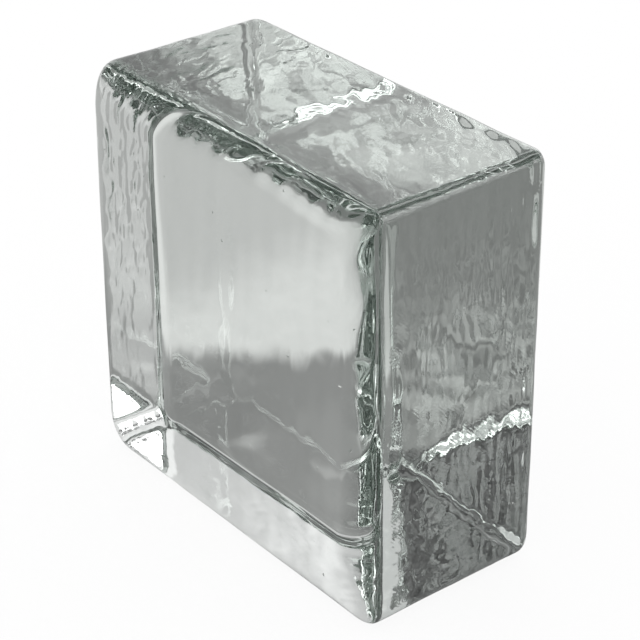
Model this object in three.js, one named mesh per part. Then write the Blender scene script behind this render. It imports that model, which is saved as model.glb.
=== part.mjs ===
// A solid block of clear cast glass, made as one closed body.
//
// Molten glass is poured into an open square mould that lies on its back. The mould floor leaves the
// flat face with tight arrises (+Y). The four mould walls leave the narrow faces. The free top of the
// pour leaves the face that looks along -Y, with its rolled rim and its slow waves.
//
// Millimetres, +Z up. The block stands on one narrow face, with the origin under its middle.

import * as THREE from 'three';
import { mergeVertices } from 'three/addons/utils/BufferGeometryUtils.js';

const { lerp, smoothstep } = THREE.MathUtils;

// ---- Driving dimensions ----

const WIDTH = 190;               // X, across the square face
const HEIGHT = 190;              // Z, up the square face
const DEPTH = 90;                // Y, from the poured face to the mould-floor face

const FLOOR_ARRIS = 6;           // rounding where the mould walls meet the mould floor

// The corners of the square, where two mould walls meet. What is given for them passes evenly along
// the sides between, so the rolled rim is wide where the glass set last and tight where it set first.
// pouredRadius and floorRadius round the corner itself, at the poured face and at the mould floor.
// rimWidth is how far the rim reaches in over the poured face, and rimDrop how far it falls back.
// rimFullness 2 rolls over like an ellipse. More is fuller, and less is nearer to a plain slope.
const LOWER_LEFT = { pouredRadius: 12, floorRadius: 9, rimWidth: 8, rimDrop: 6, rimFullness: 2.2 };
const LOWER_RIGHT = { pouredRadius: 12, floorRadius: 10, rimWidth: 20, rimDrop: 7.5, rimFullness: 2 };
const UPPER_LEFT = { pouredRadius: 12.5, floorRadius: 14, rimWidth: 17, rimDrop: 14, rimFullness: 2.2 };
const UPPER_RIGHT = { pouredRadius: 6, floorRadius: 5, rimWidth: 15, rimDrop: 7, rimFullness: 1.6 };

const RIM_CORNER_GROWTH = 9;     // how much rounder a corner is where the rim runs out into the flat
const FLOOR_CORNER_GROWTH = 3;   // the same, where an arris of the mould floor runs out
const ARRIS_FULLNESS = 2;        // the arrises of the mould floor are plain quarter rounds

const WAVE_FADE = 20;            // the waves die out over this distance before the rounding starts

// Each wave is a shallow trough that repeats: how deep, how long, and which way it runs across the face.
const POUR_WAVES = [
  { trough: 0.30, length: 88, heading: 64 },
  { trough: 0.16, length: 51, heading: 151 },
];
const FLOOR_WAVES = [
  { trough: 0.14, length: 67, heading: 24 },
];

// ---- Mesh fineness ----

const ARRIS_STEPS = 4;           // cells from the flat of a face to the middle of an arris
const FACE_STEPS = 24;           // cells across the flat of the square face
const DEPTH_STEPS = 7;           // cells along the flat of a narrow face
const EDGE_CROWDING = 0.4;       // 0 spaces the cells of a flat evenly, 0.5 crowds them at its ends

// ---- Form ----

// A line of the box's grid is either on the flat of a face or part of the way round an arris.
// flat runs from -1 to 1 across the flat. bend is the tangent of the angle turned round the arris:
// 0 on the flat, and -1 or 1 on the line that two faces share.
function gridLine(number, flatSteps) {
  const beforeFlat = ARRIS_STEPS - number;
  const pastFlat = number - ARRIS_STEPS - flatSteps;
  const stepsRound = Math.max(beforeFlat, pastFlat, 0);
  const bend = Math.tan((stepsRound / ARRIS_STEPS) * (Math.PI / 4));
  if (beforeFlat > 0) {
    return { flat: -1, bend: -bend };
  }
  if (pastFlat > 0) {
    return { flat: 1, bend };
  }
  const even = (2 * (number - ARRIS_STEPS)) / flatSteps - 1;
  return { flat: even * (1 + EDGE_CROWDING * (1 - even * even)), bend: 0 };
}

// One of the values given for the corners, passing evenly between them over the square.
function cornerValue(name, across, up) {
  const lower = lerp(LOWER_LEFT[name], LOWER_RIGHT[name], (across.flat + 1) / 2);
  const upper = lerp(UPPER_LEFT[name], UPPER_RIGHT[name], (across.flat + 1) / 2);
  return lerp(lower, upper, (up.flat + 1) / 2);
}

// The radius where the mould walls meet, passing evenly from the poured face to the mould floor.
function cornerRadius(across, along, up) {
  const poured = cornerValue('pouredRadius', across, up);
  const floor = cornerValue('floorRadius', across, up);
  return lerp(poured, floor, (along.flat + 1) / 2);
}

// The rounding seen square on to the large faces: the radius of the mould's corners along the walls,
// turning into the rim on the poured side and into the arris on the floor side.
function roundingInPlan(facing, corner, rimWidth) {
  return lerp(corner, facing.y < 0 ? rimWidth : FLOOR_ARRIS, facing.y ** 2);
}

// How far in a point of a large face lies: 0 on the block's outline, 1 where the rounding becomes flat.
// Between the two, a line of equal share is a rounded square. Its inset and its corner radius both grow
// with the share, so in a corner the share is a root of the equation of that corner's circle.
function edgeShare(x, z, width, corner, radiusGrowth) {
  const toSide = WIDTH / 2 - Math.abs(x);
  const toEnd = HEIGHT / 2 - Math.abs(z - HEIGHT / 2);
  const centreShift = width + radiusGrowth;
  const overSide = corner - toSide;
  const overEnd = corner - toEnd;

  const square = 2 * centreShift ** 2 - radiusGrowth ** 2;
  const halfLinear = centreShift * (overSide + overEnd) - corner * radiusGrowth;
  const constant = overSide ** 2 + overEnd ** 2 - corner ** 2;
  const root = Math.sqrt(Math.max(halfLinear ** 2 - square * constant, 0));
  const share = (root - halfLinear) / square;
  const isInCorner = overSide + share * centreShift > 0 && overEnd + share * centreShift > 0;
  return isInCorner ? share : Math.min(toSide, toEnd) / width;
}

// How far a rounded edge has fallen back: all of drop on the outline, 0 on the flat.
function edgeFall(share, drop, fullness) {
  const turned = 1 - THREE.MathUtils.clamp(share, 0, 1);
  return drop * (1 - (1 - turned ** fullness) ** (1 / fullness));
}

function waveDepth(waves, x, z) {
  let total = 0;
  for (const { trough, length, heading } of waves) {
    const angle = THREE.MathUtils.degToRad(heading);
    const travel = x * Math.cos(angle) + z * Math.sin(angle);
    total += (trough * (1 - Math.cos((2 * Math.PI * travel) / length))) / 2;
  }
  return total;
}

// How much of the waves is left near the edge of the flat: none at the edge, all past WAVE_FADE.
function waveStrength(across, up, flatWidth, flatHeight) {
  const toSide = ((1 - Math.abs(across.flat)) * flatWidth) / 2;
  const toEnd = ((1 - Math.abs(up.flat)) * flatHeight) / 2;
  return smoothstep(toSide, 0, WAVE_FADE) * smoothstep(toEnd, 0, WAVE_FADE);
}

// The place of one grid point on the finished block.
function pointOnBlock(across, along, up) {
  const facing = new THREE.Vector3(across.bend, along.bend, up.bend).normalize();
  const corner = cornerRadius(across, along, up);
  const rimWidth = cornerValue('rimWidth', across, up);
  const rimDrop = cornerValue('rimDrop', across, up);
  const rimFullness = cornerValue('rimFullness', across, up);
  const radius = roundingInPlan(facing, corner, rimWidth);
  const flatWidth = WIDTH - 2 * radius;
  const flatHeight = HEIGHT - 2 * radius;

  const x = (across.flat * flatWidth) / 2 + facing.x * radius;
  const z = HEIGHT / 2 + (up.flat * flatHeight) / 2 + facing.z * radius;

  const strength = waveStrength(across, up, flatWidth, flatHeight);
  if (facing.y < 0) {
    const share = edgeShare(x, z, rimWidth, corner, RIM_CORNER_GROWTH);
    const sink = waveDepth(POUR_WAVES, x, z) * strength;
    return new THREE.Vector3(x, -DEPTH / 2 + edgeFall(share, rimDrop, rimFullness) + sink, z);
  }
  if (facing.y > 0) {
    const share = edgeShare(x, z, FLOOR_ARRIS, corner, FLOOR_CORNER_GROWTH);
    const sink = waveDepth(FLOOR_WAVES, x, z) * strength;
    return new THREE.Vector3(x, DEPTH / 2 - edgeFall(share, FLOOR_ARRIS, ARRIS_FULLNESS) - sink, z);
  }
  const wallStart = -DEPTH / 2 + rimDrop;
  const wallEnd = DEPTH / 2 - FLOOR_ARRIS;
  return new THREE.Vector3(x, lerp(wallStart, wallEnd, (along.flat + 1) / 2), z);
}

// A box with one unit to each grid cell, whose points are then moved to their places on the block.
function blockGeometry() {
  const faceCells = FACE_STEPS + 2 * ARRIS_STEPS;
  const depthCells = DEPTH_STEPS + 2 * ARRIS_STEPS;
  const box = new THREE.BoxGeometry(faceCells, depthCells, faceCells, faceCells, depthCells, faceCells);
  box.deleteAttribute('normal');
  box.deleteAttribute('uv');

  const geometry = mergeVertices(box);
  const points = geometry.attributes.position;
  for (let i = 0; i < points.count; i += 1) {
    const across = gridLine(Math.round(points.getX(i) + faceCells / 2), FACE_STEPS);
    const along = gridLine(Math.round(points.getY(i) + depthCells / 2), DEPTH_STEPS);
    const up = gridLine(Math.round(points.getZ(i) + faceCells / 2), FACE_STEPS);
    const place = pointOnBlock(across, along, up);
    points.setXYZ(i, place.x, place.y, place.z);
  }
  geometry.computeVertexNormals();
  return geometry;
}

// ---- The block ----

const clearGlass = new THREE.MeshStandardMaterial({
  name: 'clear_glass',
  color: new THREE.Color(0.8, 0.84, 0.82),
  roughness: 0.04,
  metalness: 0,
  transparent: true,
  opacity: 0.35,
});

const glassBlock = new THREE.Mesh(blockGeometry(), clearGlass);
glassBlock.name = 'glass_block';

const model = new THREE.Group();
model.add(glassBlock);

export default model;
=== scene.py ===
# %% [markdown]
# # A solid block of clear cast glass
#
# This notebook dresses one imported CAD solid, a square glass block, in the finish of the real thing.
# Clear glass shows almost nothing of itself. What the eye reads is its edges, the ripples that the
# mould left, and the room, bent and mirrored inside the block. So the shape gets most of the work, the
# glass gets one honest material, and the studio round it is kept simple.

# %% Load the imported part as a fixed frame
import math
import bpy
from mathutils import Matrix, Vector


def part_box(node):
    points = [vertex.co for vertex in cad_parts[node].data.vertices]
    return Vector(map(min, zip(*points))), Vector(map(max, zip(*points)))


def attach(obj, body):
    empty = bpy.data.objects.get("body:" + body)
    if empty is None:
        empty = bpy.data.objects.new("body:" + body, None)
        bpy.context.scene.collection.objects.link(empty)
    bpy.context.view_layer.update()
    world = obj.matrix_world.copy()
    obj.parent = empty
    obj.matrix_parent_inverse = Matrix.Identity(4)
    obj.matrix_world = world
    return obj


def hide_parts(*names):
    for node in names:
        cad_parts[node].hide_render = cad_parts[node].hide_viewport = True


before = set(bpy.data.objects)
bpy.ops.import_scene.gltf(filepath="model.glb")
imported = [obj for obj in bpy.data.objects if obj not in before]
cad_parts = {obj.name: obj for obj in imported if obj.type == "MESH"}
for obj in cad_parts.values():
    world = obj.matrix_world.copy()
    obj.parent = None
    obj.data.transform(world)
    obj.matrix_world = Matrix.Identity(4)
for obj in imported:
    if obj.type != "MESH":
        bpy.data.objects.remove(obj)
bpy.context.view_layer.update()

from types import SimpleNamespace

import bmesh
import bpy
from mathutils import Quaternion, Vector, noise

MM = 0.001
node_low, node_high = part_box("glass_block")
print("block, mm:", [round(side / MM, 2) for side in node_high - node_low])

# %% [markdown]
# ## The size of the block and of its edges
#
# The block is poured into an open square mould that lies on its back. The mould floor, at +Y here,
# leaves a tight arris. The free top of the pour, at -Y, rolls over to the walls in a soft rim, which is
# broad where the glass set last. So the rim's width and drop, and the rounding between the walls, are
# given at the four corners of the square and pass evenly from one to the next. These are the values
# that the solid was made with, so the dressed block fills the same space.

# %% Sizes, in millimetres
WIDTH, DEPTH, HEIGHT = (node_high - node_low) / MM
FLOOR_ARRIS = 6.0
# for each corner: its radius at the rim and at the floor, then the rim's width, drop and fullness
LOWER_LEFT = (12.0, 9.0, 8.0, 6.0, 2.2)
LOWER_RIGHT = (12.0, 10.0, 20.0, 7.5, 2.0)
UPPER_LEFT = (12.5, 14.0, 17.0, 14.0, 2.2)
UPPER_RIGHT = (6.0, 5.0, 15.0, 7.0, 1.6)
# how much rounder a corner is where the rim or the arris runs out into the flat
RIM_CORNER_GROWTH, FLOOR_CORNER_GROWTH = 9.0, 3.0
ARRIS_FULLNESS = 2.0


def mix(a, b, share):
    return a + (b - a) * share


def smooth_step(share):
    share = min(max(share, 0.0), 1.0)
    return share * share * (3.0 - 2.0 * share)


def between_corners(across, up):
    """The corners' values, passing evenly between them over the square."""
    found = []
    for lower_left, lower_right, upper_left, upper_right in zip(
        LOWER_LEFT, LOWER_RIGHT, UPPER_LEFT, UPPER_RIGHT
    ):
        lower = mix(lower_left, lower_right, (across + 1.0) / 2.0)
        upper = mix(upper_left, upper_right, (across + 1.0) / 2.0)
        found.append(mix(lower, upper, (up + 1.0) / 2.0))
    return found


print("width of the rim at the middle of each side, mm:",
      [round(between_corners(*side)[2], 1) for side in ((-1, 0), (1, 0), (0, -1), (0, 1))])

# %% [markdown]
# ## A skin of small cells
#
# Ripples in glass have to be real shape, because light crosses the skin many times and a painted
# ripple only fools the first crossing. So the block needs a fine, even skin. One way is a cube with a
# Subdivision Surface, but that pulls the corners in by amounts that are hard to state. The way taken
# here is a cube cut into a grid of cells of about 1.3 mm, whose grid lines say where each point goes:
# either along the flat of a face or part of the way round an edge.

# %% Cut a cube into cells
ARRIS_CELLS = 10
FACE_CELLS = 126
DEPTH_CELLS = 70


def cell_box(cells):
    """A box with one unit to each cell, all its faces cut into squares."""
    mesh = bmesh.new()
    bmesh.ops.create_cube(mesh, size=1.0)
    bmesh.ops.scale(mesh, vec=Vector(cells), verts=mesh.verts)
    for axis, count in enumerate(cells):
        lengthwise = [e for e in mesh.edges if abs(e.verts[0].co[axis] - e.verts[1].co[axis]) > 0.5]
        bmesh.ops.subdivide_edges(mesh, edges=lengthwise, cuts=count - 1, use_grid_fill=True)
    return mesh


square_cells = FACE_CELLS + 2 * ARRIS_CELLS
cells = (square_cells, DEPTH_CELLS + 2 * ARRIS_CELLS, square_cells)
skin = cell_box(cells)
print("cells:", len(skin.faces), "triangles:", 2 * len(skin.faces))

# %% [markdown]
# ## Where each grid point goes
#
# A grid line on a flat runs from -1 to 1 across it. A grid line on an edge carries the tangent of the
# angle it has turned. Three such lines meet at each point, and give the direction that the skin faces
# there. The walls and their corners follow from it at once. On the two large faces the level lines are
# rounded squares, whose corners grow from the mould's corner to that of the flat. So a point finds its
# place on the roll-over from the equation of that corner's circle.


# %% Place a grid point on the plain form
def grid_line(number, flat_cells):
    before, past = ARRIS_CELLS - number, number - ARRIS_CELLS - flat_cells
    bend = math.tan(max(before, past, 0) / ARRIS_CELLS * math.pi / 4)
    if before > 0:
        return -1.0, -bend
    if past > 0:
        return 1.0, bend
    return 2.0 * (number - ARRIS_CELLS) / flat_cells - 1.0, 0.0


def rounding_in_plan(facing_y, corner, rim):
    """The rounding seen square on to the large faces."""
    return mix(corner, FLOOR_ARRIS if facing_y > 0 else rim, facing_y ** 2)


def edge_share(x, z, width, corner, growth):
    """0 on the outline of a large face, 1 where its roll-over has run out into the flat."""
    to_side, to_end = WIDTH / 2 - abs(x), HEIGHT / 2 - abs(z - HEIGHT / 2)
    shift = width + growth
    over_side, over_end = corner - to_side, corner - to_end
    square = 2 * shift ** 2 - growth ** 2
    half_linear = shift * (over_side + over_end) - corner * growth
    constant = over_side ** 2 + over_end ** 2 - corner ** 2
    root = math.sqrt(max(half_linear ** 2 - square * constant, 0.0))
    share = (root - half_linear) / square
    if over_side + share * shift > 0 and over_end + share * shift > 0:
        return share
    return min(to_side, to_end) / width


def roll_over(share, drop, fullness):
    """How far a roll-over has fallen: drop at share 0, nothing at share 1, on a quarter ellipse."""
    turned = 1.0 - min(max(share, 0.0), 1.0)
    return drop * (1.0 - (1.0 - turned ** fullness) ** (1.0 / fullness))


def place_on_block(lines):
    (across, bend_x), (along, bend_y), (up, bend_z) = lines
    facing = Vector((bend_x, bend_y, bend_z)).normalized()
    corner_at_rim, corner_at_floor, rim, drop, fullness = between_corners(across, up)
    corner = mix(corner_at_rim, corner_at_floor, (along + 1.0) / 2.0)
    radius = rounding_in_plan(facing.y, corner, rim)
    x = across * (WIDTH / 2 - radius) + facing.x * radius
    z = HEIGHT / 2 + up * (HEIGHT / 2 - radius) + facing.z * radius
    if facing.y > 0:
        share = edge_share(x, z, FLOOR_ARRIS, corner, FLOOR_CORNER_GROWTH)
        y = DEPTH / 2 - roll_over(share, FLOOR_ARRIS, ARRIS_FULLNESS)
    elif facing.y < 0:
        share = edge_share(x, z, rim, corner, RIM_CORNER_GROWTH)
        y = -DEPTH / 2 + roll_over(share, drop, fullness)
    else:
        y = mix(-DEPTH / 2 + drop, DEPTH / 2 - FLOOR_ARRIS, (along + 1.0) / 2.0)
    return Vector((x, y, z)), facing


middle = place_on_block(((0.0, 0.0), (-1.0, -math.tan(math.pi / 8)), (1.0, 1.0)))
print("half way round the top of the rim, mm:", [round(v, 1) for v in middle[0]])

# %% [markdown]
# ## Relief: what the mould and the cooling left
#
# Cast glass has three kinds of unevenness. Slow lumps come from the glass settling. Dimples come from
# the cold mould wall: the skin chills in patches, each patch shrinks to a shallow bowl, and the bowls
# meet in fine ridges that glint. Streaks run along the rims and edges, where the skin folded as it
# rolled over. Each kind is a small function of the place on the block, in millimetres below the plain
# form, so nothing ever stands outside the solid. The bowls are pushed aside by three plain noises,
# because mathutils' own noise_vector starts from the clock and would differ on every run.


# %% Three kinds of relief
LUMP_CONTRAST = 1.5
PUSH_SCALE, PUSH_REACH = 0.8, 0.5
PUSH_SPOTS = (Vector((9.3, -1.5, -8.0)), Vector((0.0, 0.0, 0.0)), Vector((-9.2, 7.3, 8.1)))
BOWL_STEEPNESS = 1.6
UPRIGHT_SHIFT, LEVEL_SHIFT = 0.4, 0.9
NEVER_ZERO = 1e-9


def lumps(place, size, depth, shift=0.0):
    """Smooth rounded hollows about this size, none deeper than depth."""
    spot = place / size + Vector((shift, 2.0 * shift, -shift))
    return depth * (0.5 - 0.5 * max(-1.0, min(1.0, LUMP_CONTRAST * noise.noise(spot))))


def dimples(place, size, depth, shift=0.0):
    """Shallow bowls about this wide that meet in fine ridges."""
    spot = place / size + Vector((shift, -shift, 3.0 * shift))
    push = [noise.noise(spot * PUSH_SCALE + start) for start in PUSH_SPOTS]
    spot = spot + PUSH_REACH * Vector(push)
    return depth * (1.0 - min(noise.voronoi(spot)[0][0] ** 2 * BOWL_STEEPNESS, 1.0))


def end_share(facing):
    """0 on the side walls, 1 on the top and bottom walls, passing over round their corners."""
    side, end = abs(facing.x) ** 3, abs(facing.z) ** 3
    return end / (side + end + NEVER_ZERO)


def streaks(place, facing, length, width, depth):
    """Fine folds that run along the nearest side of the square."""
    upright = Vector((place.x / width, place.y / width, place.z / length))
    level = Vector((place.x / length, place.y / width, place.z / width))
    upright_folds = lumps(upright, 1.0, depth, UPRIGHT_SHIFT)
    return mix(upright_folds, lumps(level, 1.0, depth, LEVEL_SHIFT), end_share(facing))


def patches(place, size, cover, contrast, start):
    """1 in patches about this size and 0 between them, passing over softly."""
    return smooth_step(cover + contrast * noise.noise(place / size + Vector(start)))


SAMPLE_BOWLS, SAMPLE_STEP = {"size": 12.0, "depth": 0.3}, 4.0
samples = [dimples(Vector((number * SAMPLE_STEP, 0, 0)), **SAMPLE_BOWLS) for number in range(7)]
print("bowls, mm deep at steps along a line:", [round(sample, 2) for sample in samples])

# %% [markdown]
# ## Each face has its own skin
#
# The side walls chilled evenly and are dimpled all over, more so towards the bottom of the right wall.
# The top wall has wide calm bowls, rippled only in places, and the bottom wall has smaller ones. The
# poured face lay free and is almost clear, with slow waves. The mould-floor face is calm too, with long
# shallow runs where the glass spread. The lower left corner of the mould filled last and is folded. All
# of these are read through the block, often after two or three mirrors inside it.

# %% Relief of the side walls
# sizes and depths are in millimetres, and a shift leads to another part of the noise
LEFT_LUMPS = {"size": 30.0, "depth": 0.35, "shift": 1.3}
LEFT_BOWLS = {"size": 8.0, "depth": 0.24, "shift": 2.0}
LEFT_GRAIN = {"size": 4.5, "depth": 0.06, "shift": 5.1}
LEFT_CALM_BELOW, LEFT_CALM_FADE, LEFT_CALM_SHARE = 45.0, 60.0, 0.22

RIGHT_LUMPS = {"size": 34.0, "depth": 0.40, "shift": 9.3}
RIGHT_BOWL_SIZE, RIGHT_BOWL_DEPTHS, RIGHT_BOWL_SHIFT = 11.0, (0.08, 0.22), 4.0
RIGHT_GRAIN_SIZE, RIGHT_GRAIN_DEPTHS, RIGHT_GRAIN_SHIFT = 5.0, (0.03, 0.11), 3.1
RIGHT_ROUGH_BELOW, RIGHT_ROUGH_FADE = 125.0, 90.0
RIGHT_PATCHES = {"size": 21.0, "cover": 0.5, "contrast": 2.4, "start": (4.1, 0.0, 1.7)}
BETWEEN_RIGHT_PATCHES = 0.3


def left_wall_relief(place):
    high = smooth_step((place.z - LEFT_CALM_BELOW) / LEFT_CALM_FADE)
    fine = dimples(place, **LEFT_BOWLS) + lumps(place, **LEFT_GRAIN)
    return lumps(place, **LEFT_LUMPS) + mix(LEFT_CALM_SHARE, 1.0, high) * fine


def right_wall_relief(place):
    low = smooth_step((RIGHT_ROUGH_BELOW - place.z) / RIGHT_ROUGH_FADE)
    grain = dimples(place, RIGHT_GRAIN_SIZE, mix(*RIGHT_GRAIN_DEPTHS, low), RIGHT_GRAIN_SHIFT)
    return (
        lumps(place, **RIGHT_LUMPS)
        + dimples(place, RIGHT_BOWL_SIZE, mix(*RIGHT_BOWL_DEPTHS, low), RIGHT_BOWL_SHIFT)
        + mix(BETWEEN_RIGHT_PATCHES, 1.0, patches(place, **RIGHT_PATCHES)) * grain
    )


half_way_up = HEIGHT / 2
print("hollow at the middle of the side walls, mm:",
      round(left_wall_relief(Vector((-WIDTH / 2, 0, half_way_up))), 2),
      round(right_wall_relief(Vector((WIDTH / 2, 0, half_way_up))), 2))

# %% Relief of the top and bottom walls
TOP_LUMPS = {"size": 36.0, "depth": 0.35, "shift": 6.0}
TOP_BOWLS = {"size": 19.0, "depth": 0.34, "shift": 7.0}
TOP_GRAIN = {"size": 5.0, "depth": 0.04, "shift": 3.3}
TOP_DIMPLES = {"size": 8.0, "depth": 0.05, "shift": 1.0}
TOP_PATCHES = {"size": 17.0, "cover": 0.25, "contrast": 2.6, "start": (2.2, 0.0, 5.5)}

BOTTOM_LUMPS = {"size": 34.0, "depth": 0.35, "shift": 2.7}
BOTTOM_BOWLS = {"size": 13.0, "depth": 0.16, "shift": 8.0}
BOTTOM_GRAIN = {"size": 4.5, "depth": 0.035, "shift": 6.1}


def top_wall_relief(place):
    rippled = patches(place, **TOP_PATCHES)
    return (
        lumps(place, **TOP_LUMPS)
        + dimples(place, **TOP_BOWLS)
        + rippled * (lumps(place, **TOP_GRAIN) + dimples(place, **TOP_DIMPLES))
    )


def bottom_wall_relief(place):
    return (
        lumps(place, **BOTTOM_LUMPS)
        + dimples(place, **BOTTOM_BOWLS)
        + dimples(place, **BOTTOM_GRAIN)
    )


print("hollow at the middle of the top and bottom walls, mm:",
      round(top_wall_relief(Vector((0, 0, HEIGHT))), 2),
      round(bottom_wall_relief(Vector((0, 0, 0))), 2))

# %% The walls together, with their folds
COLD_FOLDS = {"size": 9.0, "depth": 0.25, "shift": 4.4}
RIM_FOLDS = {"length": 50.0, "width": 7.0, "depth": 0.09}
RIM_FINE_FOLDS = {"length": 26.0, "width": 2.8, "depth": 0.065}
FLOOR_FOLDS = {"length": 18.0, "width": 4.5, "depth": 0.13}
RIM_REACH, FLOOR_REACH = 22.0, 12.0
DIMPLES_LEFT_AT_EDGES = 0.3


def cold_corner_relief(place, facing):
    """Folds along the lower left corner of the mould, which the glass reached last."""
    if facing.x > 0 or facing.z > 0:
        return 0.0
    return (2.0 * facing.x * facing.z) ** 2 * lumps(place, **COLD_FOLDS)


def wall_relief(place, facing, from_rim):
    side = right_wall_relief(place) if facing.x > 0 else left_wall_relief(place)
    end = top_wall_relief(place) if facing.z > 0 else bottom_wall_relief(place)
    by_rim = 1.0 - smooth_step(from_rim / RIM_REACH)
    by_floor = 1.0 - smooth_step((DEPTH / 2 - FLOOR_ARRIS - place.y) / FLOOR_REACH)
    plain = mix(1.0, DIMPLES_LEFT_AT_EDGES, max(by_rim, by_floor)) * mix(side, end, end_share(facing))
    rim_folds = streaks(place, facing, **RIM_FOLDS) + streaks(place, facing, **RIM_FINE_FOLDS)
    return (
        plain
        + cold_corner_relief(place, facing)
        + by_rim * rim_folds
        + by_floor * streaks(place, facing, **FLOOR_FOLDS)
    )


right_middle = Vector((WIDTH / 2, 0, half_way_up))
print("hollow of the right wall, beside the rim and 30 mm from it, mm:",
      [round(wall_relief(right_middle, Vector((1, 0, 0)), from_rim), 2) for from_rim in (0.0, 30.0)])

# %% The two large faces and the roll-over between
POUR_WAVES, POUR_START = {"size": 52.0, "depth": 0.45}, Vector((40, 0, 10))
FLOOR_WAVES, FLOOR_START = {"size": 44.0, "depth": 0.30}, Vector((7, 0, 90))
RUN_WIDTH, RUN_LENGTH, RUN_DEPTH = 8.0, 26.0, 0.20
FLOOR_LUMPS = {"size": 11.0, "depth": 0.12, "shift": 2.0}
RIM_LUMPS = {"size": 36.0, "depth": 0.25, "shift": 11.0}
ROLL_FOLDS = {"length": 60.0, "width": 7.0, "depth": 0.07}
ARRIS_LUMPS = {"size": 26.0, "depth": 0.30, "shift": 11.0}
ARRIS_FOLDS = {"length": 18.0, "width": 4.5, "depth": 0.14}
# how far the skin has turned to the front or back where the wall, the edge and the flat take over
WALL_ENDS, EDGE_ALONE, FLAT_STARTS = 0.45, 0.5, 0.75


def pour_relief(place):
    return lumps(place + POUR_START, **POUR_WAVES)


def floor_relief(place):
    runs = Vector((place.x / RUN_WIDTH, 0.0, place.z / RUN_LENGTH))
    return (
        lumps(place + FLOOR_START, **FLOOR_WAVES)
        + lumps(runs, 1.0, RUN_DEPTH)
        + lumps(place, **FLOOR_LUMPS)
    )


def rim_relief(place, facing):
    return lumps(place, **RIM_LUMPS) + streaks(place, facing, **ROLL_FOLDS)


def arris_relief(place, facing):
    return lumps(place, **ARRIS_LUMPS) + streaks(place, facing, **ARRIS_FOLDS)


def relief(place, facing, from_rim):
    """How far the skin lies below the plain form, and how much of it is mould wall."""
    turned = abs(facing.y)
    on_wall = 1.0 - smooth_step(turned / WALL_ENDS)
    edge = rim_relief(place, facing) if facing.y < 0 else arris_relief(place, facing)
    if turned < EDGE_ALONE:
        return mix(edge, wall_relief(place, facing, from_rim), on_wall), on_wall
    large = pour_relief(place) if facing.y < 0 else floor_relief(place)
    return mix(edge, large, smooth_step((turned - FLAT_STARTS) / (1.0 - FLAT_STARTS))), 0.0


print("hollow at the middle of the poured and the mould-floor face, mm:",
      round(pour_relief(Vector((0, -DEPTH / 2, half_way_up))), 2),
      round(floor_relief(Vector((0, DEPTH / 2, half_way_up))), 2))

# %% Move every point to its place
lines_x = [grid_line(i, FACE_CELLS) for i in range(cells[0] + 1)]
lines_y = [grid_line(i, DEPTH_CELLS) for i in range(cells[1] + 1)]
wall_share = skin.verts.layers.float.new("wall_share")
deepest = 0.0
for point in skin.verts:
    number = [round(co + count / 2) for co, count in zip(point.co, cells)]
    lines = lines_x[number[0]], lines_y[number[1]], lines_x[number[2]]
    place, facing = place_on_block(lines)
    from_rim = place.y + DEPTH / 2 - between_corners(lines[0][0], lines[2][0])[3]
    sunk, point[wall_share] = relief(place, facing, from_rim)
    deepest = max(deepest, sunk)
    point.co = (place - facing * sunk) * MM
print("deepest hollow, mm:", round(deepest, 2))

# %% Make it an object
bmesh.ops.recalc_face_normals(skin, faces=skin.faces)
for face in skin.faces:
    face.smooth = True
mesh = bpy.data.meshes.new("cast_block")
skin.to_mesh(mesh)
skin.free()
block = bpy.data.objects.new("cast_block", mesh)
bpy.context.scene.collection.objects.link(block)
print("points:", len(mesh.vertices))

# %% [markdown]
# ## Clear glass
#
# Soda-lime glass bends light by 1.52, and a little iron in the sand makes it faintly green-grey, which
# shows only where light has come a long way through it. So the colour belongs in the volume, as an
# absorption, and the surface stays white. The colour, the density and the refractive index are the
# same everywhere, so they sit on the shaders' own sockets.
#
# Two fine things are too small for the mesh and go in the bump. The steel of the mould walls was
# dressed with a file, and its fine slanting lines show in patches on the walls. Here and there scale
# stuck to the steel and left a pit. The moulded skin is also a touch duller than the poured face, in
# soft patches, so the roughness follows the walls as well.


# %% Helpers for materials
def math_node(tree, operation, a, b):
    """A Math node on two values, each a number or another node's output."""
    made = tree.nodes.new("ShaderNodeMath")
    made.operation = operation
    for socket, value in zip(made.inputs, (a, b)):
        if isinstance(value, (int, float)):
            socket.default_value = value
        else:
            tree.links.new(value, socket)
    return made.outputs[0]


def ramp(tree, value, low, high, out_low, out_high):
    """Passes softly from out_low to out_high while value goes from low to high."""
    made = tree.nodes.new("ShaderNodeMapRange")
    made.interpolation_type = "SMOOTHSTEP"
    tree.links.new(value, made.inputs["Value"])
    made.inputs["From Min"].default_value = low
    made.inputs["From Max"].default_value = high
    made.inputs["To Min"].default_value = out_low
    made.inputs["To Max"].default_value = out_high
    return made.outputs["Result"]


def place_in_mm(tree):
    """The place on the object, in millimetres."""
    place = tree.nodes.new("ShaderNodeTexCoord")
    larger = tree.nodes.new("ShaderNodeMapping")
    larger.inputs["Scale"].default_value = (1 / MM, 1 / MM, 1 / MM)
    tree.links.new(place.outputs["Object"], larger.inputs["Vector"])
    return larger.outputs["Vector"]


def pattern(tree, kind, vector, size):
    """A texture node whose features are about this size, in the vector's own unit."""
    made = tree.nodes.new(kind)
    made.inputs["Scale"].default_value = 1.0 / size
    tree.links.new(vector, made.inputs["Vector"])
    return made


print("helpers:", [helper.__name__ for helper in (math_node, ramp, place_in_mm, pattern)])

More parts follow.
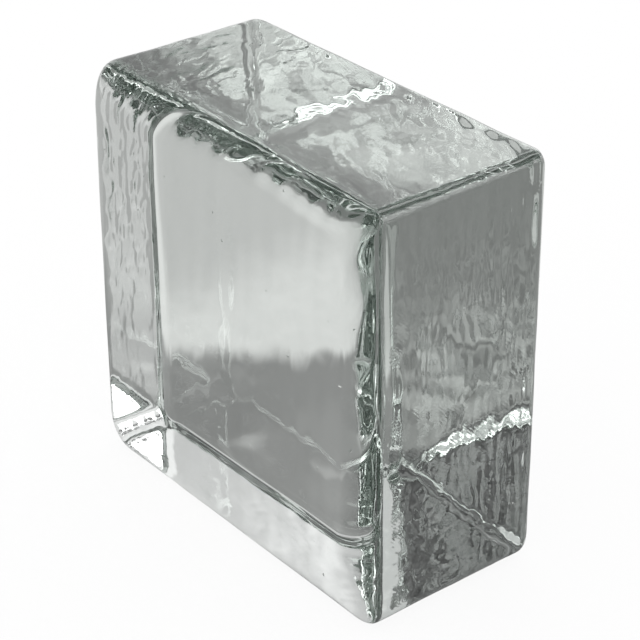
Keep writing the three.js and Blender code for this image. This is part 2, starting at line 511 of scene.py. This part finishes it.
# %% The values of the glass
GLASS_IOR = 1.52
ABSORPTION_COLOUR = (0.12, 0.25, 0.17, 1.0)
ABSORPTION_DENSITY = 1.6           # per metre
POURED_ROUGHNESS, MOULDED_ROUGHNESS = 0.008, 0.022
FILE_LINE_PITCH, FILE_LINE_DEPTH = 0.95, 0.004      # mm
PIT_SPACING, PIT_RADIUS, PIT_DEPTH = 15.0, 0.8, 0.35    # mm
PATCH_SIZE, PATCH_SPAN = 26.0, (0.45, 0.65)      # mm, and where the noise turns from clear to dull
WAVES_IN_A_UNIT = 20 / (2 * math.pi)      # of a wave texture at scale 1
left_after_a_metre = [math.exp(-ABSORPTION_DENSITY * (1 - share)) for share in ABSORPTION_COLOUR[:3]]
print("light left after a metre of glass, red, green, blue:", [round(v, 2) for v in left_after_a_metre])


# %% File lines, pits and dull patches
def add_skin_detail(tree, glass):
    """Patterned roughness, and a bump of file lines and pits."""
    vector = place_in_mm(tree)
    walls = tree.nodes.new("ShaderNodeAttribute")
    walls.attribute_name = "wall_share"
    patchy = pattern(tree, "ShaderNodeTexNoise", vector, PATCH_SIZE).outputs["Fac"]
    patchy = ramp(tree, patchy, *PATCH_SPAN, 0.0, 1.0)
    dull = math_node(tree, "MULTIPLY", walls.outputs["Fac"], patchy)
    roughness = ramp(tree, dull, 0.0, 1.0, POURED_ROUGHNESS, MOULDED_ROUGHNESS)
    tree.links.new(roughness, glass.inputs["Roughness"])

    lines = pattern(tree, "ShaderNodeTexWave", vector, FILE_LINE_PITCH * WAVES_IN_A_UNIT)
    lines.bands_direction = "DIAGONAL"
    filed = math_node(tree, "MULTIPLY", lines.outputs["Fac"], dull)
    filed = math_node(tree, "MULTIPLY", filed, FILE_LINE_DEPTH)
    specks = pattern(tree, "ShaderNodeTexVoronoi", vector, PIT_SPACING).outputs["Distance"]
    pits = ramp(tree, specks, 0.0, PIT_RADIUS / PIT_SPACING, -PIT_DEPTH, 0.0)
    bump = tree.nodes.new("ShaderNodeBump")
    bump.inputs["Distance"].default_value = MM
    tree.links.new(math_node(tree, "ADD", filed, pits), bump.inputs["Height"])
    tree.links.new(bump.outputs["Normal"], glass.inputs["Normal"])


print("file lines in a centimetre:", round(10 / FILE_LINE_PITCH, 1))


# %% Glass on the block
def cast_glass():
    material = bpy.data.materials.new("clear_cast_glass")
    material.use_nodes = True
    tree = material.node_tree
    tree.nodes.clear()
    output = tree.nodes.new("ShaderNodeOutputMaterial")
    glass = tree.nodes.new("ShaderNodeBsdfPrincipled")
    glass.inputs["Base Color"].default_value = (1, 1, 1, 1)
    glass.inputs["IOR"].default_value = GLASS_IOR
    glass.inputs["Transmission Weight"].default_value = 1.0
    tree.links.new(glass.outputs["BSDF"], output.inputs["Surface"])
    volume = tree.nodes.new("ShaderNodeVolumeAbsorption")
    volume.inputs["Color"].default_value = ABSORPTION_COLOUR
    volume.inputs["Density"].default_value = ABSORPTION_DENSITY
    tree.links.new(volume.outputs["Volume"], output.inputs["Volume"])
    add_skin_detail(tree, glass)
    return material


block.data.materials.append(cast_glass())
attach(block, "root")
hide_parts("glass_block")
print("materials:", [slot.name for slot in block.material_slots])

# %% [markdown]
# ## A white studio
#
# The block stands on white paper under an even white sky, so only its own glass draws it. Light turns
# back inside the block many times before it finds a way out. Where its paths are cut short the edges
# go black, so they are long here. The denoiser is mostly shown the colours and directions of the
# surfaces beside the picture. In glass those come from wherever a path ended, so they are as noisy as
# the picture, and it keeps that noise as detail. Here it is shown the picture alone.

# %% View, paths and sky
MOST_BOUNCES = 48
scene = bpy.context.scene
scene.view_settings.view_transform = "Standard"
scene.cycles.max_bounces = MOST_BOUNCES
scene.cycles.transmission_bounces = MOST_BOUNCES
scene.cycles.glossy_bounces = MOST_BOUNCES // 2
scene.cycles.denoising_input_passes = "RGB"

sky = bpy.data.worlds.new("white_sky")
sky.use_nodes = True
sky_light = sky.node_tree.nodes["Background"]
sky_light.inputs["Color"].default_value = (1, 1, 1, 1)
sky_light.inputs["Strength"].default_value = 1.0
scene.world = sky
print("longest path, bounces:", scene.cycles.max_bounces)

# %% [markdown]
# ## White paper
#
# Paper lit by a white sky is never quite white near an object, because the object shades it. That
# shade belongs in the picture, but a sheet of pure white does not come from light alone. So what looks
# at the paper, straight or through the glass, sees nine parts of plain white and one part of lit
# paper, which carries the shadow.

# %% Lay the paper
PAPER_SIZE, PAPER_BELOW = 12.0, 0.0003      # metres, as all sizes and places from here on
PLAIN_WHITE_SHARE = 0.9


def flat_board(name, size, centre, normal):
    """A flat rectangle that faces along normal, with an empty material of its own."""
    outline = bmesh.new()
    bmesh.ops.create_grid(outline, x_segments=1, y_segments=1, size=0.5)
    bmesh.ops.scale(outline, vec=(size[0], size[1], 1), verts=outline.verts)
    turn = Vector(normal).to_track_quat("Z", "Y").to_matrix().to_4x4()
    bmesh.ops.transform(outline, matrix=turn, verts=outline.verts)
    bmesh.ops.translate(outline, vec=centre, verts=outline.verts)
    board_mesh = bpy.data.meshes.new(name)
    outline.to_mesh(board_mesh)
    outline.free()
    board = bpy.data.objects.new(name, board_mesh)
    scene.collection.objects.link(board)
    material = bpy.data.materials.new(name)
    material.use_nodes = True
    material.node_tree.nodes.clear()
    material.cycles.emission_sampling = "NONE"
    board_mesh.materials.append(material)
    return board, material.node_tree


def paper_finish(tree):
    output = tree.nodes.new("ShaderNodeOutputMaterial")
    lit = tree.nodes.new("ShaderNodeBsdfDiffuse")
    lit.inputs["Color"].default_value = (1, 1, 1, 1)
    plain_white = tree.nodes.new("ShaderNodeEmission")
    shown = tree.nodes.new("ShaderNodeMixShader")
    path = tree.nodes.new("ShaderNodeLightPath")
    looked_at = math_node(tree, "MAXIMUM", path.outputs["Is Camera Ray"], path.outputs["Is Glossy Ray"])
    looked_at = math_node(tree, "MAXIMUM", looked_at, path.outputs["Is Transmission Ray"])
    tree.links.new(math_node(tree, "MULTIPLY", looked_at, PLAIN_WHITE_SHARE), shown.inputs["Fac"])
    tree.links.new(lit.outputs[0], shown.inputs[1])
    tree.links.new(plain_white.outputs[0], shown.inputs[2])
    tree.links.new(shown.outputs[0], output.inputs["Surface"])


paper, paper_tree = flat_board("paper", (PAPER_SIZE, PAPER_SIZE), (0, 0, -PAPER_BELOW), (0, 0, 1))
paper_finish(paper_tree)
print("paper, m:", [round(side, 2) for side in paper.dimensions])

# %% [markdown]
# ## Cards: the room that the glass shows
#
# Clear glass takes its tones from what stands round it. A studio brings in boards, white, grey and
# dark, that the lens doesn't see and the glass does. The same is done here. Each card glows with its
# own tone, and only mirrored and transmitted rays see it, so it neither shows in the picture nor
# lights the paper. The ragged bright lines that glass throws on a table would take a path tracer
# very long to find, so they are a pattern on the cards.


# %% A card, and the helpers that give it tones
def card(name, size, centre, normal):
    """A board that only the glass sees. Returns its nodes and its glow."""
    board, tree = flat_board(name, size, centre, normal)
    board.visible_camera = False
    board.visible_diffuse = False
    board.visible_shadow = False
    output = tree.nodes.new("ShaderNodeOutputMaterial")
    glow = tree.nodes.new("ShaderNodeEmission")
    tree.links.new(glow.outputs[0], output.inputs["Surface"])
    return tree, glow


def place_in_metres(tree):
    """The place on a card, whole and as X, Y and Z."""
    place = tree.nodes.new("ShaderNodeTexCoord").outputs["Object"]
    split = tree.nodes.new("ShaderNodeSeparateXYZ")
    tree.links.new(place, split.inputs[0])
    return SimpleNamespace(whole=place, X=split.outputs[0], Y=split.outputs[1], Z=split.outputs[2])


def chain(tree, operation, first, *others):
    for other in others:
        first = math_node(tree, operation, first, other)
    return first


def product(tree, *values):
    return chain(tree, "MULTIPLY", *values)


def total(tree, *values):
    return chain(tree, "ADD", *values)


def rising(tree, value, span, peak=1.0):
    return ramp(tree, value, *span, 0.0, peak)


def falling(tree, value, span, peak=1.0):
    return ramp(tree, value, *span, peak, 0.0)


def uneven(tree, place, size, depth):
    """A soft noise of this size, half of the depth to either side of zero."""
    soft = pattern(tree, "ShaderNodeTexNoise", place, size).outputs["Fac"]
    return math_node(tree, "MULTIPLY", math_node(tree, "SUBTRACT", soft, 0.5), depth)


TABLE_SIZE, TABLE_BELOW = 4.0, 0.0001
table_tree, table_glow = card("table", (TABLE_SIZE, TABLE_SIZE), (0, 0, -TABLE_BELOW), (0, 0, 1))

# %% Thrown light
# the noise that bends the lines: its scale against that of the cells, and its reach in cells
BEND_SCALE, BEND_REACH = 0.7, 0.8


def thrown_light(tree, place, cells_per_metre, span, tones):
    """Ragged lines of light round dark cells."""
    bend = tree.nodes.new("ShaderNodeTexNoise")
    bend.inputs["Scale"].default_value = cells_per_metre * BEND_SCALE
    tree.links.new(place, bend.inputs["Vector"])
    push = tree.nodes.new("ShaderNodeVectorMath")
    push.operation = "MULTIPLY_ADD"
    tree.links.new(bend.outputs["Color"], push.inputs[0])
    push.inputs[1].default_value = (BEND_REACH / cells_per_metre,) * 3
    tree.links.new(place, push.inputs[2])
    lines = tree.nodes.new("ShaderNodeTexVoronoi")
    lines.feature = "SMOOTH_F1"
    lines.inputs["Scale"].default_value = cells_per_metre
    tree.links.new(push.outputs[0], lines.inputs["Vector"])
    return ramp(tree, lines.outputs["Distance"], *span, *tones)


print("lines of light are bent by up to this share of a cell:", BEND_REACH)

# %% [markdown]
# ## The table, near and far
#
# Through the poured face the eye looks down on the table behind the block. By way of a mirror or two
# in the walls it also sees the table to the left of the block and the spot that it stands on. The
# table is grey near the block and pale past a straight edge that runs across the view. A noise
# softens and brushes the edge.

# %% The table's plain tones
TABLE_COLOUR = (0.985, 1.0, 0.98, 1.0)
NEAR_TONE, LEFT_TONE, LEFT_SPAN = 0.197, 0.235, (-0.16, -0.09)
FAR_TONES, FAR_SPAN = (0.535, 0.750), (-0.220, -0.145)
FAR_EDGE, EDGE_SOFTNESS = 0.1541, 0.011
BRUSH_WIDTH, BRUSH_DEPTH = 0.018, 0.030


def far_share(tree, at):
    """0 on the near table and 1 past its edge, which lies behind and to the left."""
    along_edge = tree.nodes.new("ShaderNodeCombineXYZ")
    tree.links.new(total(tree, at.X, at.Y), along_edge.inputs[0])
    brushed = uneven(tree, along_edge.outputs[0], BRUSH_WIDTH, BRUSH_DEPTH)
    away = product(tree, math_node(tree, "SUBTRACT", at.Y, at.X), math.sqrt(0.5))
    past_edge = math_node(tree, "SUBTRACT", total(tree, away, brushed), FAR_EDGE)
    return rising(tree, past_edge, (-EDGE_SOFTNESS, EDGE_SOFTNESS))


print("the far edge passes the block's middle at, mm:", FAR_EDGE / MM)

# %% [markdown]
# ## Light thrown on the table
#
# The block gathers light and throws it down beside itself and under itself. Here that light is painted
# on the table card. To its left the lines are fine. Under it they make a pale pool of painted light, in
# calm patches, with a painted bright middle and painted shade at its back, and the pool ends raggedly
# towards the back. Behind it painted light makes the table paler to the right, with a few faint lines
# near the foot.

# %% Painted light to the left of the block
LEFT_LINES = {"cells_per_metre": 95.0, "span": (0.25, 0.70), "tones": (-0.07, 0.22)}
LEFT_START, LEFT_END, LEFT_BACK = (-0.26, -0.12), (-0.10, -0.09), (0.00, 0.06)


# painted light: fine ragged lines on the table card, where the glass would throw light to its left
def painted_light_left(tree, at):
    beside = product(
        tree, rising(tree, at.X, LEFT_START), falling(tree, at.X, LEFT_END), falling(tree, at.Y, LEFT_BACK)
    )
    return product(tree, beside, thrown_light(tree, at.whole, **LEFT_LINES))


print("cells to the left, mm:", round(1 / LEFT_LINES["cells_per_metre"] / MM, 1))

# %% The painted pool of light under the block, its painted bright middle and its painted shade at the back
POOL_LINES = {"cells_per_metre": 80.0, "span": (0.10, 0.85), "tones": (0.15, 0.38)}
POOL_LEFT, POOL_RIGHT = (-0.100, -0.094), (0.000, 0.060)
POOL_FRONT, POOL_BACK = (-0.060, -0.045), (-0.005, 0.020)
POOL_SKEW, RAGGED_SIZE, RAGGED_DEPTH = 0.35, 0.022, 0.07
CALM_PATCH_SIZE, CALM_SPAN, CALM_TONES = 0.034, (0.42, 0.50), (0.30, 1.0)
POOL_DIM_SPAN, POOL_DIM_TONES = (-0.090, -0.055), (0.66, 1.0)
MIDDLE_LEFT, MIDDLE_BACK, MIDDLE_TONE = (-0.065, -0.045), (-0.002, 0.018), 0.21
# where and how strongly the painted shade darkens the back of the pool under the block
SHADE_FRONT, SHADE_BACK, SHADE_LEFT, SHADE_TONE = (0.024, 0.042), (0.046, 0.050), (-0.055, -0.035), -0.10


# painted light: a pale pool on the table card under the block, where the glass would throw light down
def painted_light_pool(tree, at):
    ragged = uneven(tree, at.whole, RAGGED_SIZE, RAGGED_DEPTH)
    ragged_y = total(tree, at.Y, ragged, product(tree, at.X, POOL_SKEW))
    calm = pattern(tree, "ShaderNodeTexNoise", at.whole, CALM_PATCH_SIZE).outputs["Fac"]
    return product(
        tree,
        falling(tree, at.X, POOL_RIGHT),
        falling(tree, ragged_y, POOL_BACK),
        rising(tree, at.X, POOL_LEFT),
        rising(tree, at.Y, POOL_FRONT),
        ramp(tree, calm, *CALM_SPAN, *CALM_TONES),
        ramp(tree, at.X, *POOL_DIM_SPAN, *POOL_DIM_TONES),
        thrown_light(tree, at.whole, **POOL_LINES),
    )


# painted light: a brighter middle to the painted pool under the block
def painted_bright_middle(tree, at):
    reach = product(tree, rising(tree, at.X, MIDDLE_LEFT, MIDDLE_TONE), falling(tree, at.Y, MIDDLE_BACK))
    return product(tree, reach, falling(tree, at.X, POOL_RIGHT))


# painted shade: a darker band on the table card at the back of the pool under the block
def painted_shade_at_back(tree, at):
    reach = product(tree, rising(tree, at.Y, SHADE_FRONT, SHADE_TONE), falling(tree, at.Y, SHADE_BACK))
    return product(tree, reach, rising(tree, at.X, SHADE_LEFT))


print("the lines of the pool add up to:", POOL_LINES["tones"][1])

# %% Painted light behind the block
BEHIND_LINES = {"cells_per_metre": 60.0, "span": (0.50, 0.85), "tones": (0.0, 0.30)}
BEHIND_START, BEHIND_END, BEHIND_LEFT = (0.045, 0.060), (0.085, 0.105), (-0.11, -0.09)
RIGHT_BEHIND_SPAN, RIGHT_BEHIND_TONE = (-0.030, 0.045), 0.13


# painted light: faint ragged lines near the foot behind the block, and the table paler to the right
def painted_light_behind(tree, at):
    foot = product(tree, falling(tree, at.Y, BEHIND_END), rising(tree, at.X, BEHIND_LEFT))
    lines = product(tree, foot, thrown_light(tree, at.whole, **BEHIND_LINES))
    right = rising(tree, at.X, RIGHT_BEHIND_SPAN, RIGHT_BEHIND_TONE)
    return product(tree, rising(tree, at.Y, BEHIND_START), total(tree, lines, right))


print("cells behind, mm:", round(1 / BEHIND_LINES["cells_per_metre"] / MM, 1))

# %% Finish the table
TABLE_SHINE, FRONT_SHINE, SHINE_SPAN, TABLE_ROUGHNESS = 0.16, 0.12, (0.05, 0.13), 0.14


def table_finish(tree, glow):
    at = place_in_metres(tree)
    # the near table's tone, with the painted light and the painted shade that the block would throw
    near = total(
        tree,
        ramp(tree, at.X, *LEFT_SPAN, LEFT_TONE, NEAR_TONE),
        painted_light_left(tree, at),
        painted_light_pool(tree, at),
        painted_bright_middle(tree, at),
        painted_shade_at_back(tree, at),
        painted_light_behind(tree, at),
    )
    step = math_node(tree, "SUBTRACT", ramp(tree, at.X, *FAR_SPAN, *FAR_TONES), near)
    tone = total(tree, near, product(tree, far_share(tree, at), step))
    tree.links.new(tone, glow.inputs["Strength"])
    glow.inputs["Color"].default_value = TABLE_COLOUR
    shine = tree.nodes.new("ShaderNodeBsdfGlossy")
    tree.links.new(ramp(tree, at.Y, *SHINE_SPAN, FRONT_SHINE, TABLE_SHINE), shine.inputs["Color"])
    shine.inputs["Roughness"].default_value = TABLE_ROUGHNESS
    both = tree.nodes.new("ShaderNodeAddShader")
    tree.links.new(glow.outputs[0], both.inputs[0])
    tree.links.new(shine.outputs[0], both.inputs[1])
    tree.links.new(both.outputs[0], tree.nodes["Material Output"].inputs["Surface"])


table_finish(table_tree, table_glow)
print("nodes in the table:", len(table_tree.nodes))

# %% [markdown]
# ## Boards round the block
#
# Five boards stand round the block. The window is the one bright light. It comes in from behind on
# the right, and fills the low left corner of the block with white. A pale wall stands behind on the
# left, and shows in the strip along the foot. It ends in a dim edge, which draws the dark diagonal on
# the right wall. Two dark boards give the glass its lines: the camera's own side of the room, which
# darkens the rims, and the far left, which the low part of the right wall mirrors. A small patchy
# piece of roof breaks up the white bands, and its top joins the window's light.


# %% How a board stands
def board_towards(name, direction, distance, size, lift=0.0):
    """A card that stands this way from the foot of the block and faces it."""
    towards = Vector(direction).normalized()
    tree, glow = card(name, size, towards * distance + Vector((0, 0, lift)), -towards)
    return tree, glow, place_in_metres(tree)


def set_tone(tree, glow, tone):
    tree.links.new(tone, glow.inputs["Strength"])


SIDE_DISTANCE = 1.0
DARK_LINES = {"cells_per_metre": 9.0, "span": (0.2, 0.8)}
print("spots on the dark boards, mm:", round(1 / DARK_LINES["cells_per_metre"] / MM))

# %% The two dark boards
DARK_SIDE_DIRECTION, DARK_SIDE_SIZE, DARK_SIDE_LIFT = (-0.73, -0.68, 0.0), (2.4, 1.3), 0.64
DARK_SIDE_TONES, DARK_SIDE_FADE, DARK_SIDE_FADE_TONES = (0.05, 0.24), (0.63, 0.72), (1.0, 0.6)
CAMERA_SIDE_DIRECTION, CAMERA_SIDE_SIZE, CAMERA_SIDE_TONES = (0.42, -0.62, 0.66), (1.1, 1.1), (0.05, 0.35)

tree, glow, at = board_towards(
    "dark_side", DARK_SIDE_DIRECTION, SIDE_DISTANCE, DARK_SIDE_SIZE, DARK_SIDE_LIFT
)
dark_lines = thrown_light(tree, at.whole, tones=DARK_SIDE_TONES, **DARK_LINES)
set_tone(tree, glow, product(tree, dark_lines, ramp(tree, at.Z, *DARK_SIDE_FADE, *DARK_SIDE_FADE_TONES)))

tree, glow, at = board_towards("camera_side", CAMERA_SIDE_DIRECTION, SIDE_DISTANCE, CAMERA_SIDE_SIZE)
set_tone(tree, glow, thrown_light(tree, at.whole, tones=CAMERA_SIDE_TONES, **DARK_LINES))
print("dark boards, tones:", DARK_SIDE_TONES, CAMERA_SIDE_TONES)

# %% The roof, the window and the pale wall
ROOF_DIRECTION, ROOF_DISTANCE, ROOF_SIZE = (0.40, 0.585, 0.69), 1.3, (0.50, 0.50)
ROOF_LINES = {"cells_per_metre": 11.0, "span": (0.3, 0.62), "tones": (0.08, 0.90)}
ROOF_TOP_SPAN, ROOF_TOP_TONES = (0.82, 0.92), (1.0, 2.4)
WINDOW_DIRECTION, WINDOW_DISTANCE, WINDOW_SIZE = (0.75, 0.36, 0.54), 1.2, (0.54, 0.84)
WINDOW_SPAN, WINDOW_TONES = (0.50, 0.60), (2.4, 3.4)
WALL_DIRECTION, WALL_DISTANCE, WALL_SIZE = (-0.66, 0.48, 0.58), 0.6, (0.9, 0.9)
WALL_SPAN, WALL_TONES = (-0.42, -0.32), (0.74, 1.12)
WALL_END_SPAN, WALL_END_TONES = (-0.03, 0.05), (0.30, 1.0)

tree, glow, at = board_towards("roof", ROOF_DIRECTION, ROOF_DISTANCE, ROOF_SIZE)
roof_top = ramp(tree, at.Z, *ROOF_TOP_SPAN, *ROOF_TOP_TONES)
set_tone(tree, glow, product(tree, thrown_light(tree, at.whole, **ROOF_LINES), roof_top))

tree, glow, at = board_towards("window", WINDOW_DIRECTION, WINDOW_DISTANCE, WINDOW_SIZE)
set_tone(tree, glow, ramp(tree, at.Z, *WINDOW_SPAN, *WINDOW_TONES))

tree, glow, at = board_towards("back_left_wall", WALL_DIRECTION, WALL_DISTANCE, WALL_SIZE)
wall_end = ramp(tree, at.Y, *WALL_END_SPAN, *WALL_END_TONES)
set_tone(tree, glow, product(tree, ramp(tree, at.X, *WALL_SPAN, *WALL_TONES), wall_end))

# %% [markdown]
# ## The camera
#
# The lens looks down at thirty degrees on the front right corner, from less than a metre, so the
# uprights close a little towards the foot. A hand-held camera is never quite level, and this one leans
# by less than a degree.

# %% Place the camera
AZIMUTH, ELEVATION, ROLL = math.radians(51.863), math.radians(30.025), math.radians(-0.734)
DISTANCE = 835.7 * MM
LOOK_AT = Vector((8.77, 0.0, 93.70)) * MM
FOCAL_LENGTH, SENSOR_WIDTH = 112.40, 36.0       # mm
NEAREST = 0.01       # metres

towards_camera = Vector((
    math.sin(AZIMUTH) * math.cos(ELEVATION),
    -math.cos(AZIMUTH) * math.cos(ELEVATION),
    math.sin(ELEVATION),
))
lens = bpy.data.cameras.new("camera")
lens.lens = FOCAL_LENGTH
lens.sensor_width = SENSOR_WIDTH
lens.clip_start = NEAREST
camera = bpy.data.objects.new("camera", lens)
scene.collection.objects.link(camera)
camera.rotation_mode = "QUATERNION"
camera.location = LOOK_AT + towards_camera * DISTANCE
camera.rotation_quaternion = (-towards_camera).to_track_quat("-Z", "Y") @ Quaternion((0, 0, 1), ROLL)
scene.camera = camera
print("camera, mm:", [round(v / MM, 1) for v in camera.location])
